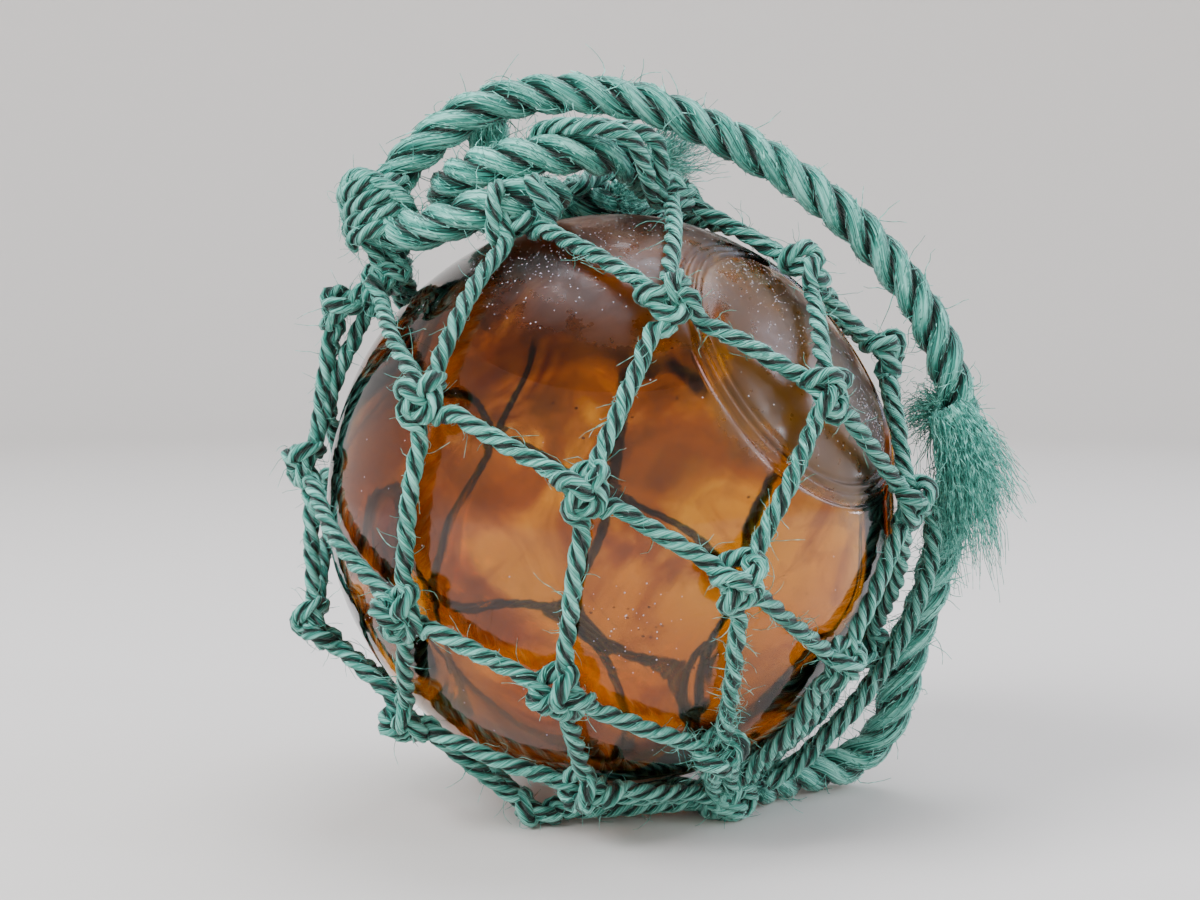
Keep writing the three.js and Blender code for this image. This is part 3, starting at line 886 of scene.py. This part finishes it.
class MakeGlass(bpy.types.Operator):
    """Makes the blown glass ball with its seal, its seed bubbles and the salt on it"""
    bl_idname = "float_ball.glass"
    bl_label = "Glass"

    def execute(self, context):
        rng = random.Random(SEED)
        outside, inside = ball_shell(sizes().ball, sizes().wall)
        bm = bmesh.new()
        for part in (outside, inside):
            mesh = bpy.data.meshes.new("shell")
            part.to_mesh(mesh)
            part.free()
            bm.from_mesh(mesh)
            bpy.data.meshes.remove(mesh)
        for place in scatter(SEED_CLUSTERS, 90, rng):
            distance = sizes().ball - rng.uniform(0.0013, 0.0022)
            seed = add_drop(bm, place, distance, rng.uniform(0.00012, 0.0004), 1.5, 2)
            bmesh.ops.reverse_faces(bm, faces=list({f for v in seed for f in v.link_faces}))
        bmesh.ops.translate(bm, verts=bm.verts, vec=CENTRE)
        ball = finished(bm, "blown_glass_ball", blown_glass())
        take_place(ball, "glass", "glass_ball")
        bm = bmesh.new()
        surface = BVHTree.FromPolygons([v.co - CENTRE for v in ball.data.vertices],
                                       [tuple(face.vertices) for face in ball.data.polygons])
        for place in scatter(SALT_CLUSTERS, 260, rng):
            hit = surface.ray_cast(place * 0.12, -place)[0]
            add_drop(bm, place, hit.length, rng.uniform(0.1, 0.42) ** 1.3 * MM, 0.3, 1)
        bmesh.ops.translate(bm, verts=bm.verts, vec=CENTRE)
        take_place(finished(bm, "salt_specks", dried_salt()), "glass")
        return {"FINISHED"}


# ---------------------------------------------------------------------------------------------
# The net and the ropes
# ---------------------------------------------------------------------------------------------

class MakeNet(bpy.types.Operator):
    """Ties the net: four rings of meshes, the top bights, the bottom gather and the fuzz"""
    bl_idname = "float_ball.net"
    bl_label = "Net"

    def execute(self, context):
        twine = sizes().twine / MM
        routes = net_routes(TWINE["spacing"])
        routes["net_bights"].append(smooth(lashing_turns(), TWINE["spacing"]))
        material = hemp("Weathered hemp twine", 9, 30)
        everywhere = []
        for name, runs in routes.items():
            cords = [lay_strands(route, twine, TWINE, SEED + index)
                     for index, route in enumerate(runs)]
            piece = cord_mesh(name, cords, TWINE, material)
            take_place(piece, "net_twine", "net")
            everywhere += cords
        rng = np.random.default_rng(SEED)
        fibre = loose_fibre("Loose hemp fibre")
        stray = stray_hairs(everywhere, twine, sizes().fuzz, 13, rng)
        for place in WORN:
            stray += stray_hairs(everywhere, twine, 200, 8, rng, (place, 24))
        take_place(hair_mesh("net_stray_fibres", stray, 0.13, fibre), "net_twine")
        laid = laid_hairs(everywhere, 4200, 12, rng)
        take_place(hair_mesh("net_laid_fibres", laid, 0.17, fibre), "net_twine")
        return {"FINISHED"}


# Places where the net's twine is rubbed to fuzz.
WORN = [(43, -80, -50), (42, -76, -62), (41, -68, -76), (-80, -10, 92)]


def lashing_turns():
    """The lashing knot: turns of twine round the rope's foot, then a wider turn across them."""
    axis = Vector((-0.15, 0.25, 0.95)).normalized()
    side = axis.cross(Vector((0, 1, 0))).normalized()
    other = axis.cross(side)
    centre = Vector((-80.5, -10.5, 100))
    points = []
    for step in range(34):
        angle = math.tau * step / 9
        wide = 10.2 + 0.5 * math.sin(angle * 2.3)
        points.append(centre + side * wide * math.cos(angle) + other * wide * math.sin(angle)
                      + axis * (-10 + 5.4 * step / 9))
    for step in range(26):
        angle = math.tau * step / 12
        tilt = axis * 11.5 * math.sin(angle + 0.6)
        points.append(centre + (side * math.cos(angle) + other * math.sin(angle)) * 12.5
                      * (1 - 0.25 * abs(math.sin(angle + 0.6))) + tilt)
    return points


class MakeDrawRope(bpy.types.Operator):
    """Lays the drawing rope round the top, with its frayed right end"""
    bl_idname = "float_ball.draw_rope"
    bl_label = "Drawing rope"

    def execute(self, context):
        rope = sizes().rope / MM
        route = smooth([on_winding(angle) for angle in
                        np.linspace(WINDING["start"], WINDING["end"], 17)], ROPE["spacing"])
        strands = lay_strands(route, rope, ROPE, SEED)
        piece = cord_mesh("draw_rope_strands", [strands], ROPE,
                          hemp("Weathered hemp rope", 21, 52, 1.1))
        take_place(piece, "thick_rope", "draw_rope")
        rng = np.random.default_rng(SEED + 2)
        hairs = tuft_hairs(route[4], (30, 22, 127), 5, 10, 420, rng, crimp=1.6)
        hairs += tuft_hairs(route[-2], route[-1] + (route[-1] - route[-6]) * 1.2, 5, 8, 160, rng)
        hairs += stray_hairs([strands], rope, 260, 16, rng)
        hairs += laid_hairs([strands], 500, 24, rng)
        fibres = hair_mesh("draw_rope_frays", hairs, 0.18, loose_fibre("Loose rope fibre", 1.1))
        take_place(fibres, "thick_rope")
        return {"FINISHED"}


class MakeCarryRope(bpy.types.Operator):
    """Lays the carrying rope: its brush end, its arch, its frayed tuft and its foot"""
    bl_idname = "float_ball.carry_rope"
    bl_label = "Carrying rope"

    def execute(self, context):
        rope = sizes().rope / MM
        route = smooth(CARRY_ROUTE, ROPE["spacing"], False, FLOOR + rope / 2)
        strands = lay_strands(route, rope, ROPE, SEED + 1)
        piece = cord_mesh("carry_rope_strands", [strands], ROPE,
                          hemp("Weathered hemp carrying rope", 21, 52))
        take_place(piece, "thick_rope", "carry_rope")
        rng = np.random.default_rng(SEED + 3)
        hairs = tuft_hairs(route[6], route[0] + (0, 0, 3), 6.4, 7.2, 420, rng, crimp=0.6)
        for start, finish, root, mouth, count in TUFTS:
            hairs += tuft_hairs(start, finish, root, mouth, count, rng, droop=0.6, crimp=1.5)
        hairs += tuft_hairs(route[-2], route[-1] + (-9, -4, 0), 4, 8, 150, rng)
        hairs += stray_hairs([strands], rope, 420, 17, rng)
        hairs += stray_hairs([strands], rope, 420, 11, rng, ((122, 5, 5), 38))
        hairs += laid_hairs([strands], 800, 24, rng)
        fibres = hair_mesh("carry_rope_frays", hairs, 0.2, loose_fibre("Frayed rope fibre", 1.15))
        take_place(fibres, "thick_rope")
        return {"FINISHED"}


# The frayed tuft over the carrying rope: (start, finish, root, mouth, hairs).
TUFTS = [((117, -6, 32), (129, -11, 8), 7, 10, 400), ((120, -7, 31), (136, -10, 12), 5, 7, 260),
         ((119, -6, 28), (124, -11, -8), 7, 9, 340), ((122, -4, 26), (131, -6, -2), 5, 6, 200),
         ((116, 2, 32), (105, 4, 33), 4, 8, 200)]


class MakeLashing(bpy.types.Operator):
    """Lays the worn doubled twine beside the ball"""
    bl_idname = "float_ball.lashing"
    bl_label = "Lashing twine"

    def execute(self, context):
        twine = sizes().twine / MM
        routes = [smooth([Vector(place) + Vector((0, side, 0)) for place in LASHING_ROUTE],
                         TWINE["spacing"], False, FLOOR + 2.9) for side in (-2.6, 2.6)]
        cords = [lay_strands(route, twine, TWINE, SEED + index)
                 for index, route in enumerate(routes)]
        piece = cord_mesh("lashing_strands", cords, TWINE, hemp("Worn hemp twine", 9, 30, 0.9))
        take_place(piece, "net_twine", "lashing_twine")
        rng = np.random.default_rng(SEED + 4)
        hairs = stray_hairs(cords, twine, 800, 10, rng)
        fibres = hair_mesh("lashing_fuzz", hairs, 0.12, loose_fibre("Worn hemp fibre", 0.9))
        take_place(fibres, "net_twine")
        return {"FINISHED"}


# ---------------------------------------------------------------------------------------------
# The studio
# ---------------------------------------------------------------------------------------------

class MakeStudio(bpy.types.Operator):
    """Sets up the pale floor that rises to a wall all round, the lights and the camera"""
    bl_idname = "float_ball.studio"
    bl_label = "Studio"

    def execute(self, context):
        bm = bmesh.new()
        reach, bend, height = 1.7, 0.7, 2.6
        profile = [(0, 0), (0.5, 0), (1.1, 0)]
        profile += [(reach + bend * math.sin(a), bend * (1 - math.cos(a)))
                    for a in np.linspace(0, math.pi / 2, 12)]
        profile.append((reach + bend, height))
        verts = [bm.verts.new((x, 0, z)) for x, z in profile]
        edges = [bm.edges.new(pair) for pair in zip(verts, verts[1:])]
        bmesh.ops.spin(bm, geom=verts + edges, axis=(0, 0, 1), cent=(0, 0, 0), steps=96,
                       angle=math.tau, use_merge=True)
        bmesh.ops.remove_doubles(bm, verts=bm.verts, dist=1e-6)
        bmesh.ops.recalc_face_normals(bm, faces=bm.faces)
        bmesh.ops.reverse_faces(bm, faces=bm.faces)
        material, _, shader = new_material("Pale painted floor", Roughness=0.7)
        shader.inputs["Base Color"].default_value = (*colours().floor, 1)
        finished(bm, "studio_floor", material)
        for name, place, size, power, tint, glossy in LIGHTS:
            lamp = bpy.data.lights.new(name, "AREA")
            lamp.shape = "RECTANGLE"
            lamp.size, lamp.size_y = size
            lamp.energy = power
            lamp.color = linear(tint)
            light = bpy.data.objects.new(name, lamp)
            light.location = CENTRE + Vector(place)
            light.rotation_euler = (-Vector(place)).to_track_quat("-Z", "Y").to_euler()
            light.visible_glossy = glossy
            light.visible_transmission = glossy
            context.scene.collection.objects.link(light)
        world = bpy.data.worlds.new("Pale room")
        world.use_nodes = True
        world.node_tree.nodes["Background"].inputs["Color"].default_value = (0.8, 0.84, 0.9, 1)
        world.node_tree.nodes["Background"].inputs["Strength"].default_value = 0.32
        context.scene.world = world
        lens = bpy.data.cameras.new("camera")
        lens.lens, lens.sensor_width, lens.clip_start = 54, 36, 0.01
        camera = bpy.data.objects.new("camera", lens)
        camera.location = CENTRE + Vector((-4.26, -635.3, 72.7)) * MM
        camera.rotation_euler = (math.radians(85), 0, 0)
        context.scene.collection.objects.link(camera)
        context.scene.camera = camera
        return {"FINISHED"}


# Soft lights: (name, place from the ball in metres, size, power in watts, colour, shows in gloss).
LIGHTS = [
    ("key", (-1.25, -0.75, 1.25), (1.0, 1.0), 58, "#f6f8ff", False),
    ("ceiling", (0.2, 0.5, 1.9), (1.5, 1.5), 34, "#f4f6ff", True),
    ("fill", (0.9, -1.4, 0.4), (1.2, 0.9), 6, "#fff6ea", False),
    ("sky_right", (1.4, 0.3, 0.88), (0.9, 0.9), 14, "#dfe6ff", True),
    ("window_right", (1.6, -0.55, 0.63), (0.22, 0.7), 9, "#e4efff", True),
    ("low_window", (1.6, 0.55, -0.03), (0.1, 0.3), 1.6, "#dfeaff", True),
]


class FloatBallPanel(bpy.types.Panel):
    """Lists the float's pieces in the sidebar"""
    bl_idname = "VIEW3D_PT_float_ball"
    bl_label = "Glass float ball"
    bl_space_type = "VIEW_3D"
    bl_region_type = "UI"
    bl_category = "Glass float"

    def draw(self, context):
        for group in (context.scene.float_ball_sizes, context.scene.float_ball_colours):
            for name in group.__annotations__:
                self.layout.prop(group, name)
        for operator in OPERATORS:
            self.layout.operator(operator.bl_idname)


OPERATORS = (MakeStudio, MakeCarryRope, MakeGlass, MakeNet, MakeDrawRope, MakeLashing)
CLASSES = (FloatBallSizes, FloatBallColours, *OPERATORS, FloatBallPanel)


def register():
    for cls in CLASSES:
        bpy.utils.register_class(cls)
    bpy.types.Scene.float_ball_sizes = PointerProperty(type=FloatBallSizes)
    bpy.types.Scene.float_ball_colours = PointerProperty(type=FloatBallColours)


def unregister():
    del bpy.types.Scene.float_ball_sizes
    del bpy.types.Scene.float_ball_colours
    for cls in reversed(CLASSES):
        bpy.utils.unregister_class(cls)


def main():
    """Makes every piece in order."""
    register()
    for operator in OPERATORS:
        group, name = operator.bl_idname.split(".")
        getattr(getattr(bpy.ops, group), name)()


def plain(bounds):
    """Bounds as lists of plain numbers, in metres."""
    return [[float(number) for number in corner] for corner in bounds]


if __name__ == "__main__":
    main()
